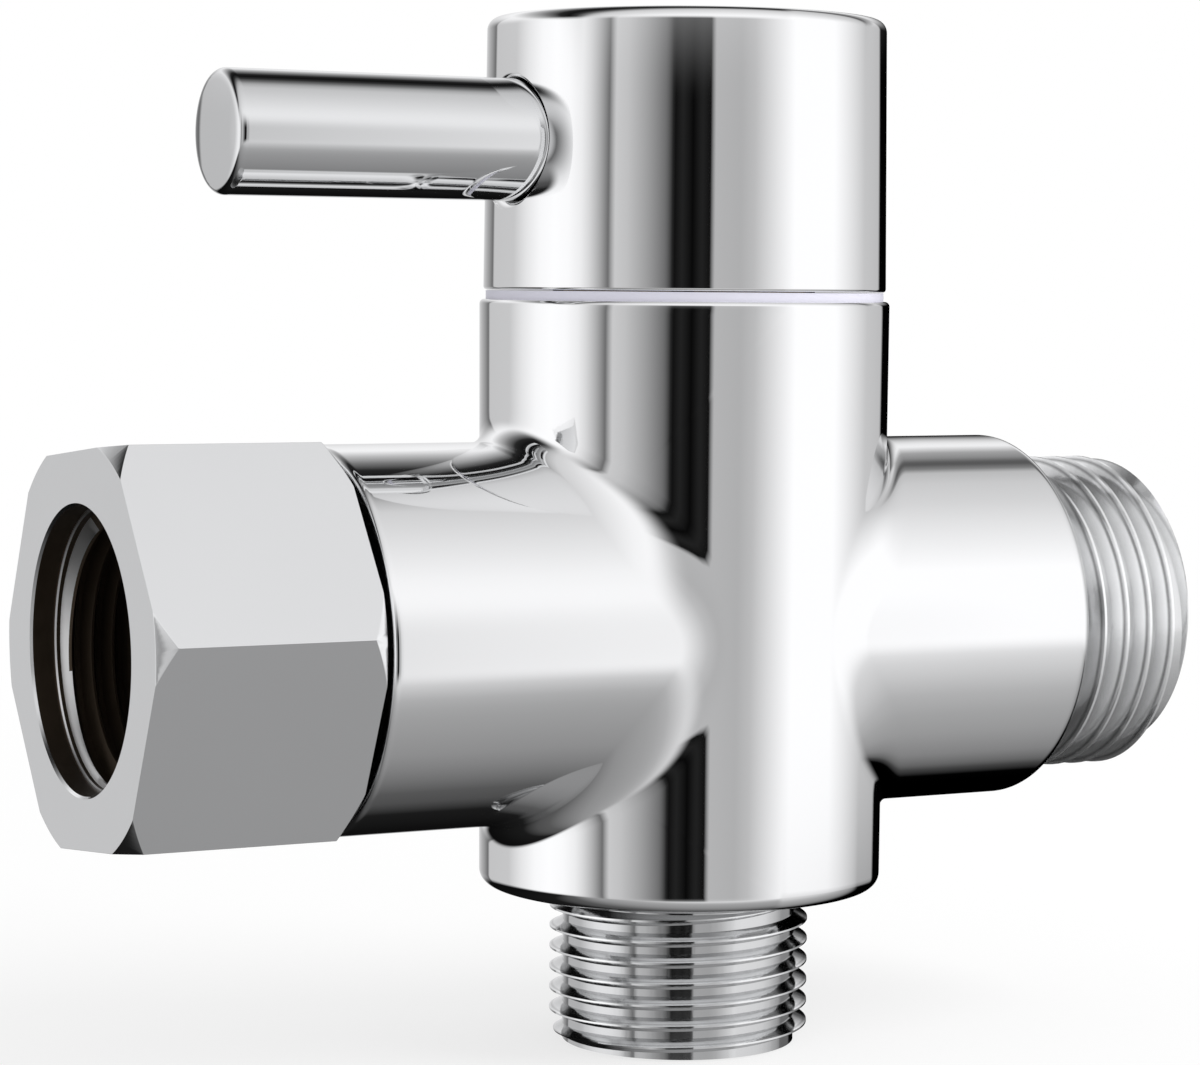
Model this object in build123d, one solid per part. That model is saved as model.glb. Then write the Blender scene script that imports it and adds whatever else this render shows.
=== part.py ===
from build123d import *
import os
from math import cos, hypot, radians, sin, sqrt

# Three-way tee valve: upright barrel, inlet arm with a union nut on -X, main outlet on +X, branch below.
# Millimetres, +Z up. The origin is the centre of the branch outlet's end face.

# Branch outlet, G3/8 male at its crest size, under the barrel
branch_thread_radius = 8.331
branch_neck_radius = 7.475
branch_length = 10.1
branch_neck_length = 0.9
branch_end_chamfer = 0.8
branch_bore_radius = 5.25

# Main outlet, G1/2 male at its crest size, at the end of the +X arm
main_thread_radius = 10.4775
main_neck_radius = 9.3155
main_length = 9.5
main_neck_length = 1.2
main_end_chamfer = 1.0
main_bore_radius = 7.0

# Inlet, G3/8 female at its crest size, in the union nut
inlet_thread_radius = 7.475
inlet_relief_radius = 8.48

# Barrel and arms of the casting
barrel_top_radius = 13.1
barrel_taper = 0.2
barrel_height = 37.5
barrel_foot_round = 0.9
barrel_top_round = 0.3
arm_setback = 0.9
arm_axis_above_foot = 16.6
inlet_arm_reach = 25.8
main_arm_reach = 23.9
arm_end_round = 1.0
junction_fillet = 1.6

# Inlet spigot and its bore
spigot_radius = 6.75
spigot_length = 5.2
spigot_tip_chamfer = 0.2
inlet_bore_radius = 4.8

# Passages inside the casting
port_radius = 1.8
port_offset = 3.6
passage_wall = 1.7
seat_thickness = 2.1
riser_radius = 1.2
riser_gap_to_wall = 0.4

# Cartridge chamber and the bonnet thread above it
barrel_wall = 2.4
chamber_step = 0.7
barrel_lip_width = 0.4
barrel_lip_height = 0.4
bonnet_thread_overrun = 0.5

# Cartridge: its layers, as shares of the chamber's depth, fill it up to the bonnet nut
base_seal_share = 0.068
disc_share = 0.17
drive_plate_share = 0.12
thrust_washer_share = 0.042
housing_roof_share = 0.186
water_gap = 2.05
moving_disc_setback = 0.3
drive_plate_setback = 0.3
disc_key_width = 2.4
disc_key_depth = 0.7
disc_hub_radius = 1.3
drive_peg_radius = 0.8
drive_peg_length = 0.9
drive_peg_circle = 4.3
drive_peg_turn_deg = 125.0
thrust_washer_setback = 0.3
skirt_thickness = 1.0
window_count = 4
window_width = 4.4
neck_radius = 4.9
neck_rise_over_barrel = 3.75
stop_lug_width_deg = 24.0
stop_lug_height = 0.55
stop_margin_deg = 1.0
handle_travel_deg = 180.0

# Spindle, its seals and its clip
spindle_radius = 3.0
seal_groove_depth = 0.8
seal_groove_width = 1.2
lower_seal_height = 1.6
upper_seal_height = 4.2
clip_thickness = 0.7
clip_width = 1.4
clip_groove_depth = 0.5
clip_mouth_width = 3.75
spline_teeth = 16
spline_depth = 0.3
spline_length = 6.4
spline_start_above_neck = 1.4

# Flange seal of the housing
flange_seal_section = 1.2
flange_seal_squeeze = 0.1
flange_seal_drop = 0.2

# Bonnet nut
bonnet_hex_share = 1.54
bonnet_hex_height = 2.3
bonnet_hex_chamfer = 0.6

# Glide ring between the barrel and the knob
glide_ring_thickness = 0.55
glide_ring_setback = 0.4

# Knob
knob_setback = 0.25
knob_taper = 0.15
knob_height = 17.2
knob_top_round = 0.8
knob_foot_round = 0.2
knob_wall = 2.0
knob_roof = 2.4
hub_wall = 1.5
insert_wall = 1.2
insert_length = 7.0
lug_wall = 1.4

# Lever
lever_radius = 3.8
lever_reach = 32.4
lever_axis_above_knob_foot = 9.3
lever_end_round = 0.75
lever_seat_depth = 1.8
lever_stud_radius = 2.5
lever_stud_length = 4.4
lever_stud_chamfer = 0.4
stud_hole_run_out = 0.3

# Grub screw in the knob's back
grub_radius = 2.0
grub_length = 5.0
grub_axis_above_knob_foot = 7.0
grub_socket_across_flats = 2.0
grub_socket_depth = 2.2
grub_cup_chamfer = 0.5

# Union nut
nut_across_flats = 23.6
nut_length = 14.4
nut_turn_deg = 35.8
nut_gap_to_arm = 0.6
nut_front_chamfer = 1.08
nut_rear_chamfer = 1.33
nut_flange_thickness = 2.6
nut_mouth_radius = 8.6
nut_mouth_depth = 1.5
nut_lead_in = 1.0
nut_relief_length = 3.8

# Retaining ring and washer on the spigot
ring_wire_radius = 0.5
ring_groove_depth = 0.45
ring_gap_deg = 24.0
washer_thickness = 1.6
washer_clearance = 0.2

# Clearances
running_clearance = 0.05
film_clearance = 0.02
seat_clearance = 0.05

# How far a cut runs past the face it opens, and a spigot's root into its carrier
overrun = 1.0

# How near a point counts as lying on a surface
on_surface = 0.01

# Heights that follow from the sizes above
arm_z = branch_length + arm_axis_above_foot
barrel_top_z = branch_length + barrel_height
floor_z = arm_z + main_bore_radius + seat_thickness
chamber_depth = barrel_top_z - floor_z
disc_thickness = disc_share * chamber_depth
fixed_disc_z = floor_z + base_seal_share * chamber_depth
moving_disc_z = fixed_disc_z + disc_thickness + film_clearance
drive_plate_z = moving_disc_z + disc_thickness
thrust_washer_z = drive_plate_z + drive_plate_share * chamber_depth
thrust_washer_top_z = thrust_washer_z + thrust_washer_share * chamber_depth
roof_z = thrust_washer_top_z + film_clearance
flange_top_z = roof_z + housing_roof_share * chamber_depth
neck_top_z = barrel_top_z + neck_rise_over_barrel
knob_foot_z = barrel_top_z + glide_ring_thickness + running_clearance
knob_top_z = knob_foot_z + knob_height
lever_z = knob_foot_z + lever_axis_above_knob_foot
grub_z = knob_foot_z + grub_axis_above_knob_foot
clip_z = neck_top_z + running_clearance
insert_z = neck_top_z + spline_start_above_neck
flange_seal_z = 0.5 * (roof_z + flange_top_z) - flange_seal_drop
seal_heights = [flange_top_z + lower_seal_height, flange_top_z + upper_seal_height]

# Radii that follow from the sizes above
barrel_foot_radius = barrel_top_radius - barrel_taper
arm_radius = barrel_foot_radius - arm_setback
bonnet_thread_radius = barrel_top_radius - barrel_wall
chamber_radius = bonnet_thread_radius - chamber_step
flange_radius = chamber_radius - seat_clearance
skirt_radius = chamber_radius - water_gap
housing_bore_radius = skirt_radius - skirt_thickness
disc_radius = housing_bore_radius - seat_clearance
moving_disc_radius = disc_radius - moving_disc_setback
drive_plate_radius = moving_disc_radius - drive_plate_setback
stem_hole_radius = spindle_radius + running_clearance
barrel_bore_radius = bonnet_thread_radius + seat_clearance
lip_radius = barrel_bore_radius + barrel_lip_width
flange_groove_radius = chamber_radius - flange_seal_section + flange_seal_squeeze
bonnet_hex_across_flats = bonnet_hex_share * bonnet_thread_radius
spline_root_radius = spindle_radius - spline_depth
insert_radius = spindle_radius + insert_wall
hub_radius = insert_radius + hub_wall
knob_foot_radius = barrel_top_radius - knob_setback
knob_top_radius = knob_foot_radius - knob_taper
knob_cavity_radius = knob_top_radius - knob_wall
nut_hole_radius = spigot_radius + running_clearance

# Distances from the barrel's axis along the arms and the lever
spigot_end_x = inlet_arm_reach + spigot_length
main_end_x = main_arm_reach + main_length
nut_rear_x = inlet_arm_reach + nut_gap_to_arm
nut_front_x = nut_rear_x + nut_length
nut_thread_inner_x = nut_rear_x + nut_flange_thickness + nut_relief_length
nut_thread_outer_x = nut_front_x - nut_mouth_depth - nut_lead_in
ring_x = nut_rear_x + nut_flange_thickness + running_clearance + ring_wire_radius
lever_inner_x = knob_top_radius - lever_seat_depth
stud_tip_x = lever_inner_x - lever_stud_length

# Ways that the turned pieces point
towards_main = Rot(0, 90, 0)
towards_inlet = Rot(0, -90, 0)
towards_back = Rot(-90, 0, 0)
downwards = Rot(180, 0, 0)


# Round piece about Z from a closed outline of (radius, height) points
def turned(outline, angle=360.0):
    section = Plane.XZ * make_face(Polyline(*outline, close=True))
    return revolve(section, Axis.Z, angle)


# Ring about Z with a round section
def round_ring(ring_radius, section_radius, height, angle=360.0):
    section = Plane.XZ * Pos(ring_radius, height) * Circle(section_radius)
    return revolve(section, Axis.Z, angle)


# Cylinder about Z between two heights
def post(radius, low, high, x=0.0, y=0.0):
    return Pos(x, y, low) * Cylinder(radius, high - low, align=(Align.CENTER, Align.CENTER, Align.MIN))


# Flat ring about Z between two heights
def collar(outer, inner, low, high):
    return post(outer, low, high) - post(inner, low - overrun, high + overrun)


# Circular edges of a turned piece, lowest first
def circles(solid):
    return solid.edges().filter_by(GeomType.CIRCLE).sort_by(Axis.Z)


# Six-sided bar about Z between two heights
def hexagon_bar(across_flats, low, high):
    outline = RegularPolygon(across_flats / 2, 6, major_radius=False)
    return Pos(0, 0, low) * extrude(outline, high - low)


# Six-sided bar whose corners are taken off at 45 degrees by a chamfer at each end
def trimmed_hexagon(across_flats, low, high, low_chamfer, high_chamfer):
    corner = across_flats / sqrt(3) + seat_clearance
    outline = [(0, low), (corner - low_chamfer, low), (corner, low + low_chamfer),
               (corner, high - high_chamfer), (corner - high_chamfer, high), (0, high)]
    return hexagon_bar(across_flats, low, high) & turned(outline)


# Wedge about Z between two radii, two heights and two angles in degrees
def wedge(inner, outer, low, high, start, stop):
    ring = turned([(inner, low), (outer, low), (outer, high), (inner, high)], stop - start)
    return Rot(0, 0, start) * ring


# Threaded spigot about Z, solid: undercut neck, thread at its crest size, chamfered end
def threaded_spigot(thread_radius, neck_radius, length, neck_length, end_chamfer):
    outline = [(0, -overrun), (neck_radius, -overrun), (neck_radius, neck_length),
               (thread_radius, neck_length), (thread_radius, length - end_chamfer),
               (thread_radius - end_chamfer, length), (0, length)]
    return turned(outline)


# Barrel: a slightly tapered round post with rounded rims
def barrel():
    body = Pos(0, 0, branch_length) * Cone(
        barrel_foot_radius, barrel_top_radius, barrel_height, align=(Align.CENTER, Align.CENTER, Align.MIN))
    body = fillet(circles(body)[0], barrel_foot_round)
    return fillet(circles(body)[-1], barrel_top_round)


# One arm, from the barrel's axis to its rounded end
def arm(reach, way):
    bar = post(arm_radius, 0, reach)
    return Pos(0, 0, arm_z) * way * fillet(circles(bar)[-1], arm_end_round)


# True where an edge lies on both the barrel's wall and an arm's wall
def is_junction(edge):
    spot = edge @ 0.5
    share = (spot.Z - branch_length) / barrel_height
    wall = barrel_foot_radius + share * (barrel_top_radius - barrel_foot_radius)
    off_barrel = abs(hypot(spot.X, spot.Y) - wall)
    off_arm = abs(hypot(spot.Y, spot.Z - arm_z) - arm_radius)
    return max(off_barrel, off_arm) < on_surface


# Outer skin of the casting: barrel and arms blended, then the three spigots and the lip round the chamber
def casting():
    body = barrel() + arm(inlet_arm_reach, towards_inlet) + arm(main_arm_reach, towards_main)
    body = fillet([edge for edge in body.edges() if is_junction(edge)], junction_fillet)
    branch = threaded_spigot(branch_thread_radius, branch_neck_radius, branch_length,
                             branch_neck_length, branch_end_chamfer)
    main = threaded_spigot(main_thread_radius, main_neck_radius, main_length,
                           main_neck_length, main_end_chamfer)
    body += Pos(0, 0, branch_length) * downwards * branch
    body += Pos(main_arm_reach, 0, arm_z) * towards_main * main
    body += collar(lip_radius, barrel_bore_radius, barrel_top_z - overrun, barrel_top_z + barrel_lip_height)
    return body + inlet_spigot()


# Plain spigot that the union nut turns on, with the groove for its retaining ring
def inlet_spigot():
    spigot = post(spigot_radius, inlet_arm_reach - overrun, spigot_end_x)
    spigot = chamfer(circles(spigot)[-1], spigot_tip_chamfer)
    spigot -= collar(spigot_radius + overrun, spigot_radius - ring_groove_depth,
                     ring_x - ring_wire_radius, ring_x + ring_wire_radius)
    return Pos(0, 0, arm_z) * towards_inlet * spigot


# Chamber for the cartridge and the bonnet nut's wider bore above it
def chamber():
    top = barrel_top_z + barrel_lip_height + overrun
    thread_bore = post(barrel_bore_radius, flange_top_z - bonnet_thread_overrun, top)
    return post(chamber_radius, floor_z, top) + thread_bore


# Waterways: three bores from outside, two ports up to the seat and the riser from the inlet
def waterways():
    inlet_end = port_offset + port_radius + passage_wall
    main_start = -port_offset + port_radius + passage_wall
    branch_top = arm_z - main_bore_radius - seat_thickness
    riser_x = chamber_radius - riser_radius - riser_gap_to_wall
    water = Pos(0, 0, arm_z) * towards_inlet * post(inlet_bore_radius, inlet_end, spigot_end_x + overrun)
    water += Pos(0, 0, arm_z) * towards_main * post(main_bore_radius, main_start, main_end_x + overrun)
    water += post(branch_bore_radius, -overrun, branch_top)
    water += post(port_radius, branch_top - overrun, floor_z + overrun, x=-port_offset)
    water += post(port_radius, arm_z, floor_z + overrun, x=port_offset)
    return water + post(riser_radius, arm_z, floor_z + overrun, x=-riser_x)


def valve_body():
    return casting() - chamber() - waterways()


# The two ports through the seal and the fixed disc, between two heights
def ports(low, high):
    return post(port_radius, low, high, x=-port_offset) + post(port_radius, low, high, x=port_offset)


# Gasket between the casting's seat and the fixed disc
def base_seal():
    return post(disc_radius, floor_z, fixed_disc_z) - ports(floor_z - overrun, fixed_disc_z + overrun)


# Ceramic disc that stays still, with the two ports and a key on each side
def fixed_disc():
    top = fixed_disc_z + disc_thickness
    keys = Box(disc_key_width, 2 * (disc_radius + disc_key_depth), disc_thickness,
               align=(Align.CENTER, Align.CENTER, Align.MIN))
    disc = post(disc_radius, fixed_disc_z, top) + Pos(0, 0, fixed_disc_z) * keys
    return disc - ports(fixed_disc_z - overrun, top + overrun)


# Places of the drive pegs, on the half of the moving disc that is solid
def peg_places():
    turns = [radians(drive_peg_turn_deg), radians(-drive_peg_turn_deg)]
    return [(drive_peg_circle * cos(turn), drive_peg_circle * sin(turn)) for turn in turns]


# Ceramic disc that turns: its half-moon opening faces away from the lever
def moving_disc():
    disc = post(moving_disc_radius, moving_disc_z, drive_plate_z)
    disc -= wedge(disc_hub_radius, moving_disc_radius + overrun,
                  moving_disc_z - overrun, drive_plate_z + overrun, -90, 90)
    socket_z = drive_plate_z - drive_peg_length - seat_clearance
    for x, y in peg_places():
        disc -= post(drive_peg_radius + seat_clearance, socket_z, drive_plate_z + overrun, x=x, y=y)
    return disc


# Star outline of a spline, tips and roots in turn
def spline_outline(root, tip):
    points = []
    for step in range(2 * spline_teeth):
        radius = tip if step % 2 == 0 else root
        turn = radians(step * 180.0 / spline_teeth)
        points.append((radius * cos(turn), radius * sin(turn)))
    return make_face(Polyline(*points, close=True))


# Drive plate with its stop lug on the lever's side and the pegs under it
def drive_plate():
    half = 0.5 * stop_lug_width_deg
    plate = post(drive_plate_radius, drive_plate_z, thrust_washer_z)
    plate += wedge(drive_plate_radius - stop_lug_height, drive_plate_radius + stop_lug_height,
                   drive_plate_z, thrust_washer_z, 180 - half, 180 + half)
    for x, y in peg_places():
        plate += post(drive_peg_radius, drive_plate_z - drive_peg_length, thrust_washer_z, x=x, y=y)
    return plate


# Spindle: drive plate, stem with seal and clip grooves, splined top
def spindle():
    stem = drive_plate() + post(spindle_radius, drive_plate_z, insert_z)
    for height in seal_heights:
        stem -= collar(spindle_radius + overrun, spindle_radius - seal_groove_depth,
                       height - 0.5 * seal_groove_width, height + 0.5 * seal_groove_width)
    stem -= collar(spindle_radius + overrun, spindle_radius - clip_groove_depth,
                   clip_z, clip_z + clip_thickness)
    spline = extrude(spline_outline(spline_root_radius, spindle_radius), spline_length)
    return stem + Pos(0, 0, insert_z) * spline


# Seal on the stem, squeezed between its groove and the neck
def stem_seal(height):
    inner = spindle_radius - seal_groove_depth
    outer = stem_hole_radius - film_clearance
    return round_ring(0.5 * (inner + outer), 0.5 * (outer - inner), height)


def lower_o_ring():
    return stem_seal(seal_heights[0])


def upper_o_ring():
    return stem_seal(seal_heights[1])


# Slippery washer between the drive plate and the housing's roof
def thrust_washer():
    return collar(drive_plate_radius - thrust_washer_setback, stem_hole_radius,
                  thrust_washer_z, thrust_washer_top_z)


# Open clip in the stem's groove above the neck
def spindle_clip():
    inner = spindle_radius - clip_groove_depth
    ring = collar(inner + clip_width, inner, clip_z, clip_z + clip_thickness)
    mouth = Box(clip_mouth_width, inner + clip_width + overrun, clip_thickness + 2 * overrun,
                align=(Align.CENTER, Align.MIN, Align.CENTER))
    return ring - Pos(0, 0, clip_z + 0.5 * clip_thickness) * mouth


# Housing without its openings: skirt round the discs, flange with the seal's groove, stem's neck
def housing_shell():
    shell = post(skirt_radius, floor_z, roof_z) + post(flange_radius, roof_z, flange_top_z)
    shell += post(neck_radius, roof_z, neck_top_z)
    shell -= post(housing_bore_radius, floor_z - overrun, roof_z)
    shell -= post(stem_hole_radius, floor_z, neck_top_z + overrun)
    half = 0.5 * flange_seal_section
    return shell - collar(flange_radius + overrun, flange_groove_radius,
                          flange_seal_z - half, flange_seal_z + half)


# Rib inside the housing that the spindle's lug meets at both ends of its travel
def stop_rib():
    half = 0.5 * stop_lug_width_deg + stop_margin_deg
    return wedge(drive_plate_radius + running_clearance, 0.5 * (housing_bore_radius + skirt_radius),
                 drive_plate_z, roof_z, handle_travel_deg - 180 + half, 180 - half)


# Slots up the skirt that hold the fixed disc's keys
def key_slots():
    height = moving_disc_z - floor_z + overrun
    bar = extrude(Rectangle(disc_key_width + 2 * seat_clearance, 2 * (skirt_radius + overrun)), height)
    return Pos(0, 0, floor_z - overrun) * bar


# Cartridge housing, with the windows that let water in to the moving disc
def cartridge_housing():
    shell = housing_shell() + stop_rib() - key_slots()
    window = Pos(0.5 * (housing_bore_radius + skirt_radius), 0, moving_disc_z) * Box(
        skirt_thickness + 2 * overrun, window_width, disc_thickness,
        align=(Align.CENTER, Align.CENTER, Align.MIN))
    for step in range(window_count):
        shell -= Rot(0, 0, (step + 0.5) * 360 / window_count) * window
    return shell


# Seal in the flange's groove
def housing_o_ring():
    section_radius = 0.5 * (chamber_radius - flange_groove_radius)
    return round_ring(flange_groove_radius + section_radius, section_radius, flange_seal_z)


# Ring nut: threaded skirt in the barrel, hexagon above the barrel's top
def bonnet_nut():
    hex_low = barrel_top_z + barrel_lip_height
    hex_high = hex_low + bonnet_hex_height
    nut = post(bonnet_thread_radius, flange_top_z, hex_low)
    nut += trimmed_hexagon(bonnet_hex_across_flats, hex_low, hex_high, bonnet_hex_chamfer, bonnet_hex_chamfer)
    return nut - post(neck_radius + seat_clearance, flange_top_z - overrun, hex_high + overrun)


# Pale plastic ring that the knob glides over
def glide_ring():
    return collar(barrel_top_radius - glide_ring_setback, lip_radius + seat_clearance, barrel_top_z,
                  barrel_top_z + glide_ring_thickness)


# Bar inside the knob, from its hub out to its wall
def knob_lug(radius, way, height):
    return Pos(0, 0, height) * way * post(radius, 0, knob_top_radius - 0.5 * knob_wall)


# Holes in the knob's side: the lever's seat and stud hole, and the grub screw's hole
def knob_side_holes():
    outside = knob_foot_radius + overrun
    seat = post(lever_radius + seat_clearance, lever_inner_x, outside)
    seat += post(lever_stud_radius + seat_clearance, stud_tip_x - stud_hole_run_out, outside)
    screw_hole = post(grub_radius + seat_clearance, 0, outside)
    return Pos(0, 0, lever_z) * towards_inlet * seat + Pos(0, 0, grub_z) * towards_back * screw_hole


# Knob: cup with a hub for the splined insert and lugs for the lever's stud and the grub screw
def knob():
    cup = Pos(0, 0, knob_foot_z) * Cone(
        knob_foot_radius, knob_top_radius, knob_height, align=(Align.CENTER, Align.CENTER, Align.MIN))
    cup = fillet(circles(cup)[-1], knob_top_round)
    cup = fillet(circles(cup)[0], knob_foot_round)
    roof = knob_top_z - knob_roof
    cup -= post(knob_cavity_radius, knob_foot_z - overrun, roof)
    cup += post(hub_radius, insert_z, roof + overrun)
    cup += knob_lug(lever_stud_radius + lug_wall, towards_inlet, lever_z)
    cup += knob_lug(grub_radius + lug_wall, towards_back, grub_z)
    return cup - post(insert_radius, insert_z - overrun, insert_z + insert_length) - knob_side_holes()


# Lever: straight rod with a rounded end and a threaded stud at its crest size
def lever():
    rod = post(lever_radius, lever_inner_x, lever_reach)
    rod = fillet(circles(rod)[-1], lever_end_round)
    stud = post(lever_stud_radius, stud_tip_x, lever_inner_x)
    stud = chamfer(circles(stud)[0], lever_stud_chamfer)
    return Pos(0, 0, lever_z) * towards_inlet * (rod + stud)


# Splined bush in the knob's hub, with the grub screw's way through it
def spline_insert():
    bush = post(insert_radius, insert_z, insert_z + insert_length)
    star = spline_outline(spline_root_radius + film_clearance, spindle_radius + film_clearance)
    bush -= Pos(0, 0, insert_z) * extrude(star, spline_length + seat_clearance)
    screw_hole = post(grub_radius + seat_clearance, 0, insert_radius + overrun)
    return bush - Pos(0, 0, grub_z) * towards_back * screw_hole


# Socket set screw that bears on the spindle from the knob's back
def grub_screw():
    tip = spindle_radius + film_clearance
    head = tip + grub_length
    screw = post(grub_radius, tip, head)
    screw = chamfer(circles(screw)[0], grub_cup_chamfer)
    screw -= hexagon_bar(grub_socket_across_flats, head - grub_socket_depth, head + overrun)
    return Pos(0, 0, grub_z) * towards_back * screw


# Inside of the nut: rear hole, clearance behind the thread, thread, lead-in and mouth
def nut_hollow():
    rear = nut_rear_x - overrun
    cavity = nut_rear_x + nut_flange_thickness
    lead = inlet_thread_radius + nut_lead_in
    mouth = nut_front_x - nut_mouth_depth
    outline = [(0, rear), (nut_hole_radius, rear), (nut_hole_radius, cavity), (inlet_relief_radius, cavity),
               (inlet_relief_radius, nut_thread_inner_x), (inlet_thread_radius, nut_thread_inner_x),
               (inlet_thread_radius, nut_thread_outer_x), (lead, mouth), (nut_mouth_radius, mouth),
               (nut_mouth_radius, nut_front_x + overrun), (0, nut_front_x + overrun)]
    return turned(outline)


# Union nut: hexagon with both ends' corners taken off and its hollow
def swivel_nut():
    nut = trimmed_hexagon(nut_across_flats, nut_rear_x, nut_front_x, nut_rear_chamfer, nut_front_chamfer)
    return Pos(0, 0, arm_z) * towards_inlet * Rot(0, 0, nut_turn_deg) * (nut - nut_hollow())


# Open wire ring in the spigot's groove, behind the nut's flange
def nut_retaining_ring():
    radius = spigot_radius - ring_groove_depth + ring_wire_radius
    wire = round_ring(radius, ring_wire_radius, ring_x, 360 - ring_gap_deg)
    return Pos(0, 0, arm_z) * towards_inlet * wire


# Flat rubber washer on the spigot's end
def inlet_washer():
    ring = collar(inlet_thread_radius - washer_clearance, inlet_bore_radius,
                  spigot_end_x, spigot_end_x + washer_thickness)
    return Pos(0, 0, arm_z) * towards_inlet * ring


pieces = {
    "valve_body": valve_body,
    "base_seal": base_seal,
    "fixed_disc": fixed_disc,
    "moving_disc": moving_disc,
    "spindle": spindle,
    "lower_o_ring": lower_o_ring,
    "upper_o_ring": upper_o_ring,
    "thrust_washer": thrust_washer,
    "spindle_clip": spindle_clip,
    "cartridge_housing": cartridge_housing,
    "housing_o_ring": housing_o_ring,
    "bonnet_nut": bonnet_nut,
    "glide_ring": glide_ring,
    "knob": knob,
    "lever": lever,
    "spline_insert": spline_insert,
    "grub_screw": grub_screw,
    "swivel_nut": swivel_nut,
    "nut_retaining_ring": nut_retaining_ring,
    "inlet_washer": inlet_washer,
}

os.makedirs("parts", exist_ok=True)
for name, make in pieces.items():
    piece = make()
    export_step(piece, f"parts/{name}.step")
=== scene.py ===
import bpy
import bmesh
from math import atan2, cos, hypot, pi, radians, sin, sqrt
from mathutils import Matrix, Vector


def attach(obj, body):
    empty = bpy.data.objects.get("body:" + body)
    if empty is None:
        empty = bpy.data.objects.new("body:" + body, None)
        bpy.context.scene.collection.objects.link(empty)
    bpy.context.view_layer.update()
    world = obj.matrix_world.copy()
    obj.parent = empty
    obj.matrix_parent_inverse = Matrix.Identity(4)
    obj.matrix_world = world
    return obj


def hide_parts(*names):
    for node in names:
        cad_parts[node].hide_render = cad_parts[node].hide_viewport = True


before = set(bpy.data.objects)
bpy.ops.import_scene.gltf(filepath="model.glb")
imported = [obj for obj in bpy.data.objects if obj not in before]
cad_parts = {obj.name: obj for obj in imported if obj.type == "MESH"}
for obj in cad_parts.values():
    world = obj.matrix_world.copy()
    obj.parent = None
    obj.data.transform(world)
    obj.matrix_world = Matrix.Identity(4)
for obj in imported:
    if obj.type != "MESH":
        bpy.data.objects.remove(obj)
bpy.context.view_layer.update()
mm = 0.001

# Camera: a long lens under a quarter of a metre away, a little above the arms' height, turned towards the
# union nut's side and rolled by half a degree.
camera_place = Vector((-113.29, -201.16, 48.52)) * mm
camera_azimuth, camera_pitch, camera_roll = 28.08, 3.93, 0.475
bpy.ops.object.camera_add()
camera = bpy.context.object
camera.name = "camera"
camera.data.sensor_width = 36.0
camera.data.lens = 108.0
camera.data.clip_start = 0.01
camera.matrix_world = (Matrix.Translation(camera_place) @ Matrix.Rotation(radians(-camera_azimuth), 4, "Z")
                       @ Matrix.Rotation(radians(90 - camera_pitch), 4, "X")
                       @ Matrix.Rotation(radians(camera_roll), 4, "Z"))
bpy.context.scene.camera = camera
bpy.context.scene.view_settings.view_transform = "Standard"


# Floor: a wide pale sheet under the valve's foot. It is white to the camera with the soft shadow kept on it,
# and the polished metal mirrors the studio's grey table in its place.
def add_node(tree, kind, **inputs):
    """Adds a node and joins or sets its inputs, by name or by number as in i0."""
    node = tree.nodes.new(kind)
    for name, value in inputs.items():
        socket = node.inputs[int(name[1:])] if name[1:].isdigit() else node.inputs[name.replace("_", " ")]
        if isinstance(value, bpy.types.NodeSocket):
            tree.links.new(value, socket)
        else:
            socket.default_value = value
    return node


def add_math(tree, operation, first, second=0.0):
    """Adds one step of arithmetic and gives its result."""
    node = add_node(tree, "ShaderNodeMath", i0=first, i1=second)
    node.operation = operation
    return node.outputs[0]


def empty_tree(owner):
    """Turns on an owner's nodes and clears them."""
    owner.use_nodes = True
    owner.node_tree.nodes.clear()
    return owner.node_tree


shadow_reach, white_from, shadow_share = 0.05, 0.22, 0.72
bpy.ops.mesh.primitive_circle_add(vertices=96, radius=3.0, fill_type="NGON", location=(0, 0, 0))
floor = bpy.context.object
floor.name = "floor"
floor.visible_glossy = False
floor_paint = bpy.data.materials.new("floor_paint")
tree = empty_tree(floor_paint)
grain = add_node(tree, "ShaderNodeTexNoise", Scale=3.0)
tone = add_node(tree, "ShaderNodeMapRange", Value=grain.outputs["Fac"], To_Min=0.93, To_Max=0.95)
sheet = add_node(tree, "ShaderNodeBsdfDiffuse", Color=tone.outputs["Result"])
glow = add_node(tree, "ShaderNodeEmission", Strength=1.0)
path = tree.nodes.new("ShaderNodeLightPath")
spot = add_node(tree, "ShaderNodeVectorMath", i0=tree.nodes.new("ShaderNodeTexCoord").outputs["Object"])
spot.operation = "LENGTH"
far = add_node(tree, "ShaderNodeMapRange", Value=spot.outputs["Value"], From_Min=shadow_reach,
               From_Max=white_from, To_Min=shadow_share, To_Max=1.0)
share = add_math(tree, "MULTIPLY", path.outputs["Is Camera Ray"], far.outputs["Result"])
blend = add_node(tree, "ShaderNodeMixShader", i0=share, i1=sheet.outputs[0], i2=glow.outputs[0])
add_node(tree, "ShaderNodeOutputMaterial", Surface=blend.outputs[0])
floor.data.materials.append(floor_paint)

# Background: plain white all round, which also gives the soft even light of a light tent.
world = bpy.data.worlds.new("light_tent")
bpy.context.scene.world = world
tree = empty_tree(world)
path = tree.nodes.new("ShaderNodeLightPath")
seen = add_math(tree, "MAXIMUM", path.outputs["Is Camera Ray"], path.outputs["Is Glossy Ray"])
seen = add_math(tree, "MAXIMUM", seen, path.outputs["Is Transmission Ray"])
strength = add_node(tree, "ShaderNodeMapRange", Value=seen, To_Min=0.75, To_Max=1.0)
air = add_node(tree, "ShaderNodeBackground", Color=(1, 1, 1, 1), Strength=strength.outputs["Result"])
add_node(tree, "ShaderNodeOutputWorld", Surface=air.outputs[0])

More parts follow.
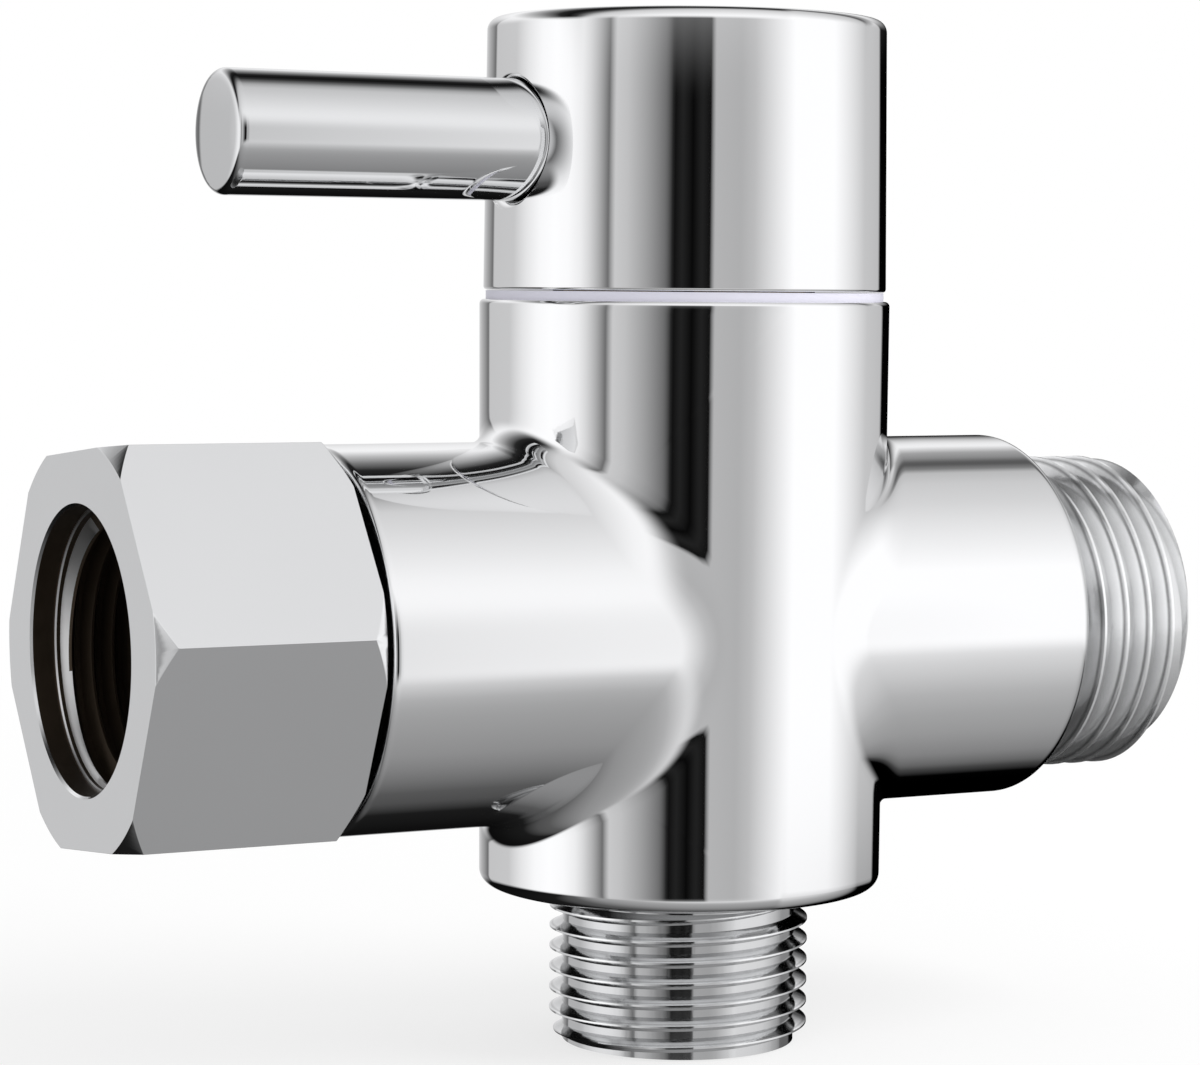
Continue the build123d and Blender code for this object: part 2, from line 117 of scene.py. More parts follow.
# Key light: one large soft lamp above the camera's right, for the shadow and the unpolished surfaces.
lit_place = Vector((0, 0, 0.03))
bpy.ops.object.light_add(type="AREA", location=(0.35, -0.35, 0.6))
lamp = bpy.context.object
lamp.name = "key_light"
lamp.data.shape = "DISK"
lamp.data.size = 0.5
lamp.data.energy = 3.0
lamp.visible_glossy = False
lamp.rotation_euler = (lit_place - lamp.location).to_track_quat("-Z", "Y").to_euler()


# Studio: soft boxes, grey walls and black flags all round, seen only in the polished metal. A belt of them
# stands round the table, by bearing from the photographer's place to the right. Above and below it a left
# and a right tent run from the front horizon over the top to the back, and under the front of the table.
def set_stops(ramp, stops):
    """Lays out a colour ramp from stops of (place from 0 to 1, colour)."""
    while len(ramp.color_ramp.elements) < len(stops):
        ramp.color_ramp.elements.new(1.0)
    for element, (place, colour) in zip(ramp.color_ramp.elements, stops):
        element.position = place
        element.color = colour


def add_ramp(tree, value, stops):
    """Light along an angle, from stops of (angle in degrees, brightness out of 255)."""
    low, high = stops[0][0], stops[-1][0]
    along = add_node(tree, "ShaderNodeMapRange", Value=value, From_Min=radians(low), From_Max=radians(high))
    ramp = add_node(tree, "ShaderNodeValToRGB", Fac=along.outputs["Result"])
    places = [(angle - low) / (high - low) for angle, seen in stops]
    lights = [(seen / 255.0) ** 2.2 for angle, seen in stops]
    set_stops(ramp, [(place, (light, light, light * 1.01, 1.0)) for place, light in zip(places, lights)])
    return ramp.outputs["Color"]


def add_mix(tree, share, first, second):
    """Goes from the first colour to the second by a share."""
    node = add_node(tree, "ShaderNodeMix", i0=share, i6=first, i7=second)
    node.data_type = "RGBA"
    return node.outputs[2]


studio_radius = 1.5
bpy.ops.mesh.primitive_uv_sphere_add(segments=64, ring_count=32, radius=studio_radius, location=(0, 0, 0))
studio = bpy.context.object
studio.name = "studio_walls"
studio.visible_camera = False
studio.visible_diffuse = False
studio.visible_shadow = False
studio.visible_transmission = False
wall_stops = [(-180, 235), (-150, 150), (-143, 105), (-141, 198), (-115, 202), (-103, 234), (-91, 256),
              (-80, 262), (-70, 258), (-62, 244), (-57, 222), (-51, 180), (-45, 110), (-41, 205), (-34, 196),
              (-23, 162), (-12, 110), (-8, 18), (-3, 40), (3, 16), (8, 40), (13, 22), (15, 183), (30, 178),
              (38, 191), (53, 237), (63, 262), (92, 262), (122, 200), (143, 190), (146, 10), (180, 10)]
left_dome = [(-180, 10), (-145, 24), (-120, 33), (-107, 80), (-97, 89), (-86, 114), (-76, 131), (-66, 144),
             (-54, 152), (-42, 160), (-36, 166), (-30, 176), (-25, 194), (-20, 212), (-13, 234), (0, 250),
             (22, 258), (40, 250), (56, 236), (72, 222), (84, 212), (92, 184), (100, 116), (107, 56),
             (114, 26), (122, 44), (130, 120), (140, 190), (150, 250), (180, 258)]
right_dome = [(-180, 0), (-125, 0), (-116, 8), (-108, 70), (-103, 102), (-92, 132), (-82, 144), (-73, 154),
              (-58, 165), (-44, 180), (-37, 192), (-30, 204), (-22, 216), (-14, 234), (-6, 250), (2, 262),
              (35, 262), (50, 248), (65, 234), (81, 217), (97, 206), (107, 190), (111, 130), (116, 88),
              (119, 94), (124, 140), (131, 165), (141, 245), (180, 262)]
belt_top, dome_from, belt_foot, table_from = radians(6), radians(32), radians(-11), radians(-20)
right_from, right_full, right_lift = 0.47 * studio_radius, 0.53 * studio_radius, radians(5)
studio_light = bpy.data.materials.new("studio_light")
tree = empty_tree(studio_light)
place = tree.nodes.new("ShaderNodeTexCoord")
turned = add_node(tree, "ShaderNodeMapping", Vector=place.outputs["Object"],
                  Rotation=(0, 0, radians(90 + camera_azimuth)))
turned_axes = add_node(tree, "ShaderNodeSeparateXYZ", Vector=turned.outputs["Vector"])
axes = add_node(tree, "ShaderNodeSeparateXYZ", Vector=place.outputs["Object"])
bearing = add_math(tree, "ARCTAN2", turned_axes.outputs["Y"], turned_axes.outputs["X"])
rise = add_math(tree, "ARCSINE", add_math(tree, "DIVIDE", turned_axes.outputs["Z"], studio_radius))
walls = add_ramp(tree, bearing, wall_stops)
over = add_math(tree, "ARCTAN2", axes.outputs["Z"], add_math(tree, "MULTIPLY", axes.outputs["Y"], -1.0))
to_right = add_node(tree, "ShaderNodeMapRange", Value=axes.outputs["X"], From_Min=right_from,
                    From_Max=right_full)
dome = add_mix(tree, to_right.outputs["Result"], add_ramp(tree, over, left_dome),
               add_ramp(tree, over, right_dome))
fall = add_math(tree, "SUBTRACT", rise, add_math(tree, "MULTIPLY", to_right.outputs["Result"], right_lift))
off_belt = add_node(tree, "ShaderNodeMapRange", Value=rise, From_Min=belt_top, From_Max=dome_from)
under_belt = add_node(tree, "ShaderNodeMapRange", Value=fall, From_Min=belt_foot, From_Max=table_from)
for soft_edge in (to_right, off_belt, under_belt):
    soft_edge.interpolation_type = "SMOOTHSTEP"
share = add_math(tree, "MAXIMUM", off_belt.outputs["Result"], under_belt.outputs["Result"])
glow = add_node(tree, "ShaderNodeEmission", Color=add_mix(tree, share, walls, dome))
add_node(tree, "ShaderNodeOutputMaterial", Surface=glow.outputs[0])
studio.data.materials.append(studio_light)


# Valve body: one brass casting, machined, polished and chromed. An upright barrel with an arm on each side,
# blended softly where they meet, a threaded foot, a threaded outlet on the right and a plain spigot on the
# left for the union nut. It is bored out for the water and for the cartridge.
barrel_foot, barrel_top = 10.1 * mm, 47.6 * mm
barrel_foot_radius, barrel_top_radius = 12.9 * mm, 13.1 * mm
barrel_foot_round, barrel_top_round = 0.9 * mm, 0.3 * mm
taper = (barrel_top_radius - barrel_foot_radius) / (barrel_top - barrel_foot)
arm_radius, arm_height = 12.0 * mm, 26.7 * mm
inlet_end_round, main_end_round = 0.45 * mm, 1.0 * mm
inlet_arm_reach, main_arm_reach = 25.8 * mm, 23.9 * mm
tight_round, wide_round = 1.6 * mm, 10.0 * mm
turn_steps = 360
turns = [radians(step * 360 / turn_steps) for step in range(turn_steps + 1)]


def clear_selection():
    """Leaves nothing selected, so that an operator acts on the new piece alone."""
    if bpy.context.object and bpy.context.object.mode != "OBJECT":
        bpy.ops.object.mode_set(mode="OBJECT")
    bpy.ops.object.select_all(action="DESELECT")


def take(*pieces):
    """Selects these pieces alone, the first as the active one."""
    clear_selection()
    for piece in pieces:
        piece.select_set(True)
    bpy.context.view_layer.objects.active = pieces[0]


def close_skin(piece):
    """Merges the corners that meet and turns all faces outwards."""
    take(piece)
    bpy.ops.object.mode_set(mode="EDIT")
    bpy.ops.mesh.select_all(action="SELECT")
    bpy.ops.mesh.remove_doubles(threshold=0.0005 * mm)
    bpy.ops.mesh.normals_make_consistent(inside=False)
    bpy.ops.object.mode_set(mode="OBJECT")


def rolled_sheet(name, rows):
    """Flat grid sheet whose corners are laid row by row onto the given places."""
    clear_selection()
    across, along = len(rows[0]), len(rows)
    bpy.ops.mesh.primitive_grid_add(x_subdivisions=across - 1, y_subdivisions=along - 1, size=1.0)
    sheet = bpy.context.object
    sheet.name = name
    for corner in sheet.data.vertices:
        column = round((corner.co.x + 0.5) * (across - 1))
        row = round((corner.co.y + 0.5) * (along - 1))
        corner.co = rows[row][column]
    return sheet


def arc(x, y, radius, start, stop, steps):
    """Places along a round of an outline, from one angle to another in degrees."""
    angles = [radians(start + (stop - start) * step / steps) for step in range(steps + 1)]
    return [(x + radius * cos(angle), y + radius * sin(angle)) for angle in angles]


def barrel_radius(z):
    """The barrel's radius at a height: it widens a little towards the top."""
    return barrel_foot_radius + taper * (z - barrel_foot)


def junction_round(t):
    """Radius of the blend: tight over and under the arm, polished wide in front and behind."""
    return tight_round + (wide_round - tight_round) * abs(sin(t)) ** 6.5


def ball_centre(t):
    """Where a ball of the blend's radius sits when it touches both the barrel and the arm."""
    y = (arm_radius + junction_round(t)) * sin(t)
    z = arm_height + (arm_radius + junction_round(t)) * cos(t)
    return Vector((sqrt((barrel_radius(z) + junction_round(t)) ** 2 - y * y), y, z))


def touch_on_barrel(t):
    """Bearing and height at which that ball touches the barrel."""
    centre = ball_centre(t)
    return atan2(centre.y, centre.x), centre.z + junction_round(t) * taper


def barrel_place(bearing, z):
    """Place on the barrel's wall."""
    return Vector((barrel_radius(z) * cos(bearing), barrel_radius(z) * sin(bearing), z))


# The barrel's wall on each side of the seam runs out to a square frame: level at the two rims, and upright
# in front and behind, where the two halves meet. The frame's corners lie at these turns of the arm.
upper_corner, lower_corner = radians(50), radians(130)
wall_top, wall_foot = barrel_top - barrel_top_round, barrel_foot + barrel_foot_round


def frame_place(t):
    """Bearing and height on that frame for a turn of the arm."""
    turn = (t + pi) % (2 * pi) - pi
    side = 1 if turn >= 0 else -1
    if abs(turn) <= upper_corner:
        return pi / 2 * touch_on_barrel(turn)[0] / touch_on_barrel(upper_corner)[0], wall_top
    if abs(turn) >= lower_corner:
        return pi / 2 * touch_on_barrel(turn)[0] / touch_on_barrel(lower_corner)[0], wall_foot
    share = (cos(turn) - cos(lower_corner)) / (cos(upper_corner) - cos(lower_corner))
    return side * pi / 2, wall_foot + (wall_top - wall_foot) * share


def half_skin(name, side, outline):
    """One arm with what stands on its end, its blend, and its half of the barrel's wall."""
    blend_steps, wall_steps = 14, 18
    rows = [[Vector((x, r * sin(t), arm_height + r * cos(t))) for t in turns] for x, r in outline]
    start = outline[-1][0]
    for share in (0.01, 0.25, 0.5, 0.75):
        rows.append([Vector((start + share * (ball_centre(t).x - start), arm_radius * sin(t),
                             arm_height + arm_radius * cos(t))) for t in turns])
    for share in [step / blend_steps for step in range(blend_steps + 1)]:
        row = []
        for t in turns:
            centre = ball_centre(t)
            on_arm = Vector((centre.x, arm_radius * sin(t), arm_height + arm_radius * cos(t))) - centre
            on_wall = barrel_place(*touch_on_barrel(t)) - centre
            row.append(centre + junction_round(t) * on_arm.normalized().slerp(on_wall.normalized(), share))
        rows.append(row)
    for share in [step / wall_steps for step in range(1, wall_steps + 1)]:
        row = []
        for t in turns:
            bearing, z = touch_on_barrel(t)
            frame_bearing, frame_z = frame_place(t)
            row.append(barrel_place(bearing + share * (frame_bearing - bearing), z + share * (frame_z - z)))
        rows.append(row)
    rows = [[Vector((side * place.x, place.y, place.z)) for place in row] for row in rows]
    return rolled_sheet(name, rows)


def extrude_rim(piece, level, outline):
    """Extrudes the piece's open rim at a height through an outline of (radius, height), and caps it."""
    take(piece)
    bpy.ops.object.mode_set(mode="EDIT")
    bpy.ops.mesh.select_mode(type="EDGE")
    bpy.ops.mesh.select_all(action="DESELECT")
    shape = bmesh.from_edit_mesh(piece.data)
    for edge in shape.edges:
        edge.select_set(edge.is_boundary and all(abs(end.co.z - level) < 0.01 * mm for end in edge.verts))
    bmesh.update_edit_mesh(piece.data)
    for radius, height in outline:
        bpy.ops.mesh.extrude_edges_indiv()
        shape = bmesh.from_edit_mesh(piece.data)
        for corner in shape.verts:
            if corner.select:
                scale = radius / hypot(corner.co.x, corner.co.y)
                corner.co = (corner.co.x * scale, corner.co.y * scale, height)
        bmesh.update_edit_mesh(piece.data)
    bpy.ops.mesh.edge_face_add()
    bpy.ops.object.mode_set(mode="OBJECT")


spigot_radius, spigot_end, spigot_bevel = 6.75 * mm, 31.0 * mm, 0.2 * mm
groove_radius, groove_start, groove_end = 6.3 * mm, 29.05 * mm, 30.05 * mm
main_thread_radius, main_root_radius, main_end = 10.4775 * mm, 9.3155 * mm, 33.4 * mm
foot_thread_radius, foot_root_radius = 8.331 * mm, 7.475 * mm
lip_radius, lip_top = 11.15 * mm, 48.0 * mm
pole = 0.0
inlet_outline = [(spigot_end, pole), (spigot_end, spigot_radius - spigot_bevel),
                 (spigot_end - spigot_bevel, spigot_radius), (groove_end, spigot_radius),
                 (groove_end, groove_radius), (groove_start, groove_radius), (groove_start, spigot_radius),
                 (inlet_arm_reach, spigot_radius)]
inlet_outline += arc(inlet_arm_reach - inlet_end_round, arm_radius - inlet_end_round, inlet_end_round,
                     0, 90, 10)
main_outline = [(main_end, pole), (main_end, main_root_radius), (main_arm_reach, main_root_radius)]
main_outline += arc(main_arm_reach - main_end_round, arm_radius - main_end_round, main_end_round, 0, 90, 10)
top_round = arc(barrel_radius(wall_top) - barrel_top_round, wall_top, barrel_top_round, 0, 90, 5)
foot_round = arc(barrel_radius(wall_foot) - barrel_foot_round, wall_foot, barrel_foot_round, 0, -90, 10)
body = half_skin("valve_casting", -1, inlet_outline)
main_half = half_skin("main_half", 1, main_outline)
take(body, main_half)
bpy.ops.object.join()
close_skin(body)
extrude_rim(body, wall_top, top_round[1:] + [(lip_radius, barrel_top), (lip_radius, lip_top)])
extrude_rim(body, wall_foot, foot_round[1:] + [(foot_root_radius, barrel_foot), (foot_root_radius, 0.0)])
close_skin(body)


def post(radius, start, end, axis="Z", x=0.0, z=0.0, segments=96):
    """Closed round post along an axis between two places on it."""
    clear_selection()
    spin = (0, pi / 2, 0) if axis == "X" else (0, 0, 0)
    middle = ((start + end) / 2, 0, z) if axis == "X" else (x, 0, (start + end) / 2)
    bpy.ops.mesh.primitive_cylinder_add(vertices=segments, radius=radius, depth=end - start,
                                        location=middle, rotation=spin)
    bpy.ops.object.transform_apply(location=True, rotation=True, scale=True)
    return bpy.context.object


def combine(piece, tool, operation):
    """Adds a tool shape to a piece, cuts it away or keeps what both share."""
    take(piece)
    step = piece.modifiers.new("combine", "BOOLEAN")
    step.operation = operation
    step.solver = "EXACT"
    step.object = tool
    bpy.ops.object.modifier_apply(modifier=step.name)
    bpy.data.objects.remove(tool)


# The chamber for the cartridge and its wider thread bore, the two ports up to the seat, the riser from the
# inlet and the three bores from outside. Each runs its own way into the next, so that no two ends are level.
chamber_floor, chamber_radius, bonnet_bore_radius, bonnet_seat = 35.8 * mm, 10.0 * mm, 10.75 * mm, 44.26 * mm
port_radius, port_offset, port_foot = 1.8 * mm, 3.6 * mm, 16.0 * mm
riser_radius, riser_offset = 1.2 * mm, 8.4 * mm
inlet_bore_radius, inlet_bore_floor = 4.8 * mm, 7.1 * mm
main_bore_radius, main_bore_floor = 7.0 * mm, -0.1 * mm
foot_bore_radius, foot_bore_top = 5.25 * mm, 17.6 * mm
past_inlet, past_main, past_foot = -35.0 * mm, 37.0 * mm, -2.0 * mm
water = post(chamber_radius, chamber_floor, lip_top + 1.0 * mm)
combine(water, post(bonnet_bore_radius, bonnet_seat, lip_top + 1.5 * mm), "UNION")
combine(water, post(port_radius, port_foot, chamber_floor + 1.0 * mm, x=-port_offset, segments=48), "UNION")
combine(water, post(port_radius, arm_height, chamber_floor + 1.2 * mm, x=port_offset, segments=48), "UNION")
combine(water, post(riser_radius, arm_height, chamber_floor + 1.4 * mm, x=-riser_offset, segments=32),
        "UNION")
combine(water, post(inlet_bore_radius, past_inlet, -inlet_bore_floor, axis="X", z=arm_height), "UNION")
combine(water, post(main_bore_radius, main_bore_floor, past_main, axis="X", z=arm_height), "UNION")
combine(water, post(foot_bore_radius, past_foot, foot_bore_top), "UNION")
combine(body, water, "DIFFERENCE")


# Pipe threads: a single ridge winds right-handed round each outlet, with a narrow crest, straight flanks and
# a runout at both ends, where the die stopped and where the chamfer cuts it.
def thread_ridge(name, root, crest, pitch, start, end, crest_width, root_width, limit, place):
    """Closed helical ridge round an axis; limit gives the greatest radius at a place along it."""
    steps_a_turn, start_turns, end_turns, thinnest, sunk = 120, 0.4, 0.25, 0.3, 0.06 * mm
    steps = round((end - start) / pitch * steps_a_turn)
    half_root, half_crest = (pitch - root_width) / 2, crest_width / 2
    section = [(-half_root, 0.0), (-half_crest, 1.0), (half_crest, 1.0), (half_root, 0.0), (0.0, -0.1),
               (-half_root, 0.0)]
    rows = []
    for offset, lift in section:
        row = []
        for step in range(steps + 1):
            turn = 2 * pi * step / steps_a_turn
            along = start + pitch * step / steps_a_turn
            fade = min(1.0, step / (start_turns * steps_a_turn), (steps - step) / (end_turns * steps_a_turn))
            spot = along + offset * (thinnest + (1 - thinnest) * fade)
            radius = root - sunk + (crest - root + sunk) * lift * fade
            row.append(place(turn, min(spot, end), min(radius, limit(spot))))
        rows.append(row)
    ridge = rolled_sheet(name, rows)
    close_skin(ridge)
    take(ridge)
    bpy.ops.object.mode_set(mode="EDIT")
    bpy.ops.mesh.select_all(action="SELECT")
    bpy.ops.mesh.fill_holes(sides=12)
    bpy.ops.mesh.normals_make_consistent(inside=False)
    bpy.ops.object.mode_set(mode="OBJECT")
    return ridge


main_pitch, main_relief, main_chamfer = 1.814 * mm, 1.1 * mm, 1.0 * mm
foot_pitch, foot_relief, foot_chamfer, foot_phase = 1.337 * mm, 0.9 * mm, 0.8 * mm, radians(52)


def main_limit(x):
    """Greatest radius of the main thread: its end is chamfered."""
    return main_thread_radius - main_chamfer + max(0.0, main_end - x)


def foot_limit(z):
    """Greatest radius of the foot's thread: its end is chamfered."""
    return foot_thread_radius - foot_chamfer + max(0.0, z)


def main_place(turn, x, r):
    """Place round the main outlet."""
    return Vector((x, r * cos(turn), arm_height + r * sin(turn)))


def foot_place(turn, z, r):
    """Place round the foot, with the thread's start turned as in the photograph."""
    return Vector((r * cos(turn + foot_phase), r * sin(turn + foot_phase), z))


main_thread = thread_ridge("main_thread", main_root_radius, main_thread_radius, main_pitch,
                           start=main_arm_reach + main_relief, end=main_end - 0.1 * mm,
                           crest_width=0.18 * mm, root_width=0.50 * mm, limit=main_limit, place=main_place)
foot_thread = thread_ridge("foot_thread", foot_root_radius, foot_thread_radius, foot_pitch,
                           start=0.2 * mm, end=barrel_foot - foot_relief,
                           crest_width=0.12 * mm, root_width=0.40 * mm, limit=foot_limit, place=foot_place)
take(body, main_thread, foot_thread)
bpy.ops.object.join()


def smooth_by_angle(piece):
    """Shades a piece smooth, with all edges steeper than 28 degrees kept sharp."""
    take(piece)
    bpy.ops.object.shade_smooth_by_angle(angle=radians(28))


smooth_by_angle(body)


def add_finish(name, colour, spread=0.04, metallic=0.0, roughness=0.4, uneven=0.08, grain=900.0, depth=0.02,
               stretch=(1, 1, 1)):
    """Material whose colour, gloss and fine relief vary with a grain; stretch draws the grain out."""
    material = bpy.data.materials.new(name)
    tree = empty_tree(material)
    place = tree.nodes.new("ShaderNodeTexCoord")
    laid = add_node(tree, "ShaderNodeMapping", Vector=place.outputs["Object"], Scale=stretch)
    fine = add_node(tree, "ShaderNodeTexNoise", Vector=laid.outputs[0], Scale=grain, Detail=3.0)
    broad = add_node(tree, "ShaderNodeTexNoise", Vector=place.outputs["Object"], Scale=90.0, Detail=2.0)
    darker = tuple(part * (1 - spread) for part in colour) + (1,)
    lighter = tuple(min(1.0, part * (1 + spread)) for part in colour) + (1,)
    tone = add_mix(tree, broad.outputs["Fac"], darker, lighter)
    gloss = add_node(tree, "ShaderNodeMapRange", Value=fine.outputs["Fac"],
                     To_Min=roughness - uneven / 2, To_Max=roughness + uneven / 2)
    relief = add_node(tree, "ShaderNodeBump", Strength=depth, Distance=0.2 * mm, Height=fine.outputs["Fac"])
    shader = add_node(tree, "ShaderNodeBsdfPrincipled", Base_Color=tone, Roughness=gloss.outputs[0],
                      Normal=relief.outputs[0], Metallic=metallic)
    add_node(tree, "ShaderNodeOutputMaterial", Surface=shader.outputs[0])
    return material


def dress(piece, material):
    """Gives a piece this material alone."""
    piece.data.materials.clear()
    piece.data.materials.append(material)


polished_chrome = add_finish("polished_chrome", (0.935, 0.937, 0.94), spread=0.008, metallic=1.0,
                             roughness=0.035, uneven=0.02, grain=260.0, depth=0.004)


def add_thread_chrome_with_painted_shade(name, axis_height, root, crest, along, metallic, roughness, shade_tones):
    """Chrome over a cut thread with painted shade: the tones darken its colour in the root, on the flank and
    beside the crest.
    """
    material = add_finish(name, (0.95, 0.955, 0.96), metallic=metallic, roughness=roughness, grain=700.0,
                          depth=0.10, stretch=along)
    tree = material.node_tree
    place = tree.nodes.new("ShaderNodeTexCoord")
    axes = add_node(tree, "ShaderNodeSeparateXYZ", Vector=place.outputs["Object"])
    across = axes.outputs["X"]
    if axis_height is not None:
        across = add_math(tree, "SUBTRACT", axes.outputs["Z"], axis_height)
    spread = add_math(tree, "ADD", add_math(tree, "MULTIPLY", across, across),
                      add_math(tree, "MULTIPLY", axes.outputs["Y"], axes.outputs["Y"]))
    painted_shade_height = add_node(tree, "ShaderNodeMapRange", Value=add_math(tree, "SQRT", spread), From_Min=root,
                   From_Max=crest)
    # Painted shade by height on the ridge: darker in the root, on the flank and in a line beside the crest.
    painted_shade = add_node(tree, "ShaderNodeValToRGB", Fac=painted_shade_height.outputs["Result"])
    heights = (0.05, 0.66, 0.80, 0.93)
    set_stops(painted_shade, [(height, (tone, tone, tone, 1.0)) for height, tone in zip(heights, (*shade_tones, 1.0))])
    shader = next(node for node in tree.nodes if node.type == "BSDF_PRINCIPLED")
    tone = shader.inputs["Base Color"].links[0].from_socket
    shaded_tone = add_node(tree, "ShaderNodeVectorMath", i0=tone, i1=painted_shade.outputs["Color"])
    shaded_tone.operation = "MULTIPLY"
    tree.links.new(shaded_tone.outputs[0], shader.inputs["Base Color"])
    return material


main_thread_chrome_painted_shade = add_thread_chrome_with_painted_shade("main_thread_chrome_painted_shade", arm_height, main_root_radius, main_thread_radius,
                                       along=(0.1, 1, 1), metallic=0.86, roughness=0.15,
                                       shade_tones=(0.82, 1.0, 0.42))
foot_thread_chrome_painted_shade = add_thread_chrome_with_painted_shade("foot_thread_chrome_painted_shade", None, foot_root_radius, foot_thread_radius,
                                       along=(1, 1, 0.1), metallic=1.0, roughness=0.09,
                                       shade_tones=(0.76, 0.90, 0.62))
# Bores: the hue of bare brass, painted far darker than brass as the shade inside them.
bore_brass_painted_shade = add_finish("bore_brass_painted_shade", (0.16, 0.12, 0.08), spread=0.25, metallic=0.9, roughness=0.42, uneven=0.2,
                      depth=0.10)
dress(body, polished_chrome)
for finish in (main_thread_chrome_painted_shade, foot_thread_chrome_painted_shade, bore_brass_painted_shade):
    body.data.materials.append(finish)

# Past the right arm's shoulder and under the barrel a face is thread or bore, elsewhere inside it is bore.
skin = 0.02 * mm
main_thread_slot, foot_thread_slot, bore_slot = 1, 2, 3
for face in body.data.polygons:
    middle = face.center
    off_arm, off_barrel = hypot(middle.y, middle.z - arm_height), hypot(middle.x, middle.y)
    if middle.x > main_arm_reach + skin:
        face.material_index = bore_slot if off_arm < main_bore_radius + skin else main_thread_slot
    elif middle.z < barrel_foot - skin:
        face.material_index = bore_slot if off_barrel < foot_bore_radius + skin else foot_thread_slot
    elif off_barrel < bonnet_bore_radius + 0.05 * mm and off_arm < arm_radius - 0.1 * mm:
        face.material_index = bore_slot
    elif off_arm < main_bore_radius + skin and off_barrel < 25.0 * mm:
        face.material_index = bore_slot
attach(body, "root")
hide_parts("valve_body")


# Union nut: a six-sided brass bar, turned at both ends and threaded inside, then satin chromed. It turns
# freely on the spigot and pulls the supply pipe against the washer.
nut_rear, nut_front, nut_width, nut_turn = 26.4 * mm, 40.8 * mm, 23.6 * mm, 35.8
rear_chamfer, front_chamfer = 1.33 * mm, 1.08 * mm
flange_bore, flange_front = 6.8 * mm, 29.0 * mm
ring_room_radius, ring_room_front = 8.48 * mm, 32.8 * mm
nut_crest, nut_root, nut_root_front = 7.475 * mm, 8.40 * mm, 39.2 * mm
nut_thread_start, nut_thread_end, lead_in_start, lead_in_radius = 33.2 * mm, 39.0 * mm, 38.3 * mm, 8.475 * mm
mouth_radius, mouth_start, mouth_bevel = 8.6 * mm, 39.3 * mm, 0.15 * mm
cut_rear, cut_front = 25.0 * mm, 42.0 * mm


def turned_piece(name, outline, steps=240, axis="Z", centre=(0, 0, 0)):
    """Round piece from a closed outline of (radius, place along the axis), spun about the axis."""
    clear_selection()
    bpy.ops.mesh.primitive_circle_add(vertices=len(outline), fill_type="NOTHING")
    piece = bpy.context.object
    piece.name = name
    for corner, (radius, along) in zip(piece.data.vertices, outline):
        corner.co = (radius, 0, along)
    bpy.ops.object.mode_set(mode="EDIT")
    bpy.ops.mesh.select_all(action="SELECT")
    bpy.ops.mesh.spin(steps=steps, angle=2 * pi, center=(0, 0, 0), axis=(0, 0, 1))
    bpy.ops.object.mode_set(mode="OBJECT")
    ways = {"Z": Matrix.Identity(4), "-X": Matrix.Rotation(-pi / 2, 4, "Y"),
            "Y": Matrix.Rotation(-pi / 2, 4, "X")}
    piece.data.transform(Matrix.Translation(centre) @ ways[axis])
    close_skin(piece)
    return piece


clear_selection()
bpy.ops.mesh.primitive_cylinder_add(vertices=6, radius=nut_width / sqrt(3), depth=nut_front - nut_rear)
nut = bpy.context.object
nut.name = "union_nut"
first = nut.data.vertices[0].co
lead = atan2(first.y, first.x)
nut.data.transform(Matrix.Translation((-(nut_rear + nut_front) / 2, 0, arm_height))
                   @ Matrix.Rotation(-pi / 2, 4, "Y") @ Matrix.Rotation(radians(nut_turn) - lead, 4, "Z"))
edge = nut_width / sqrt(3) + 0.05 * mm
trim = turned_piece("trim", [(0, nut_rear), (edge - rear_chamfer, nut_rear), (edge, nut_rear + rear_chamfer),
                             (edge, nut_front - front_chamfer), (edge - front_chamfer, nut_front),
                             (0, nut_front)], axis="-X", centre=(0, 0, arm_height))
combine(nut, trim, "INTERSECT")
take(nut)
round_off = nut.modifiers.new("round_off", "BEVEL")
round_off.limit_method = "ANGLE"
round_off.angle_limit = radians(20)
round_off.width = 0.14 * mm
round_off.segments = 3
bpy.ops.object.modifier_apply(modifier=round_off.name)
hollow = turned_piece("hollow", [(0, cut_rear), (flange_bore, cut_rear), (flange_bore, flange_front),
                                 (ring_room_radius, flange_front), (ring_room_radius, ring_room_front),
                                 (nut_root, ring_room_front), (nut_root, nut_root_front),
                                 (lead_in_radius, mouth_start), (mouth_radius, mouth_start),
                                 (mouth_radius, nut_front - mouth_bevel),
                                 (mouth_radius + mouth_bevel, nut_front),
                                 (mouth_radius + mouth_bevel, cut_front), (0, cut_front)],
                      axis="-X", centre=(0, 0, arm_height))
combine(nut, hollow, "DIFFERENCE")


def nut_limit(along):
    """Least radius of the nut's thread, put below zero: it opens out into the lead-in."""
    return -(nut_crest + max(0.0, along - lead_in_start))


def nut_place(turn, along, radius):
    """Place inside the nut; the radius comes below zero, so that the ridge points inwards."""
    return Vector((-along, -radius * cos(turn), arm_height + radius * sin(turn)))


nut_thread = thread_ridge("nut_thread", -nut_root, -nut_crest, foot_pitch,
                          start=nut_thread_start, end=nut_thread_end,
                          crest_width=0.14 * mm, root_width=0.30 * mm, limit=nut_limit, place=nut_place)
take(nut, nut_thread)
bpy.ops.object.join()
smooth_by_angle(nut)
take(nut)
lead_faces = nut.modifiers.new("lead_faces", "WEIGHTED_NORMAL")
lead_faces.keep_sharp = True
bpy.ops.object.modifier_apply(modifier=lead_faces.name)
satin_chrome = add_finish("satin_chrome", (0.925, 0.93, 0.935), spread=0.015, metallic=1.0, roughness=0.16,
                          uneven=0.05, grain=420.0, stretch=(0.15, 1, 1))
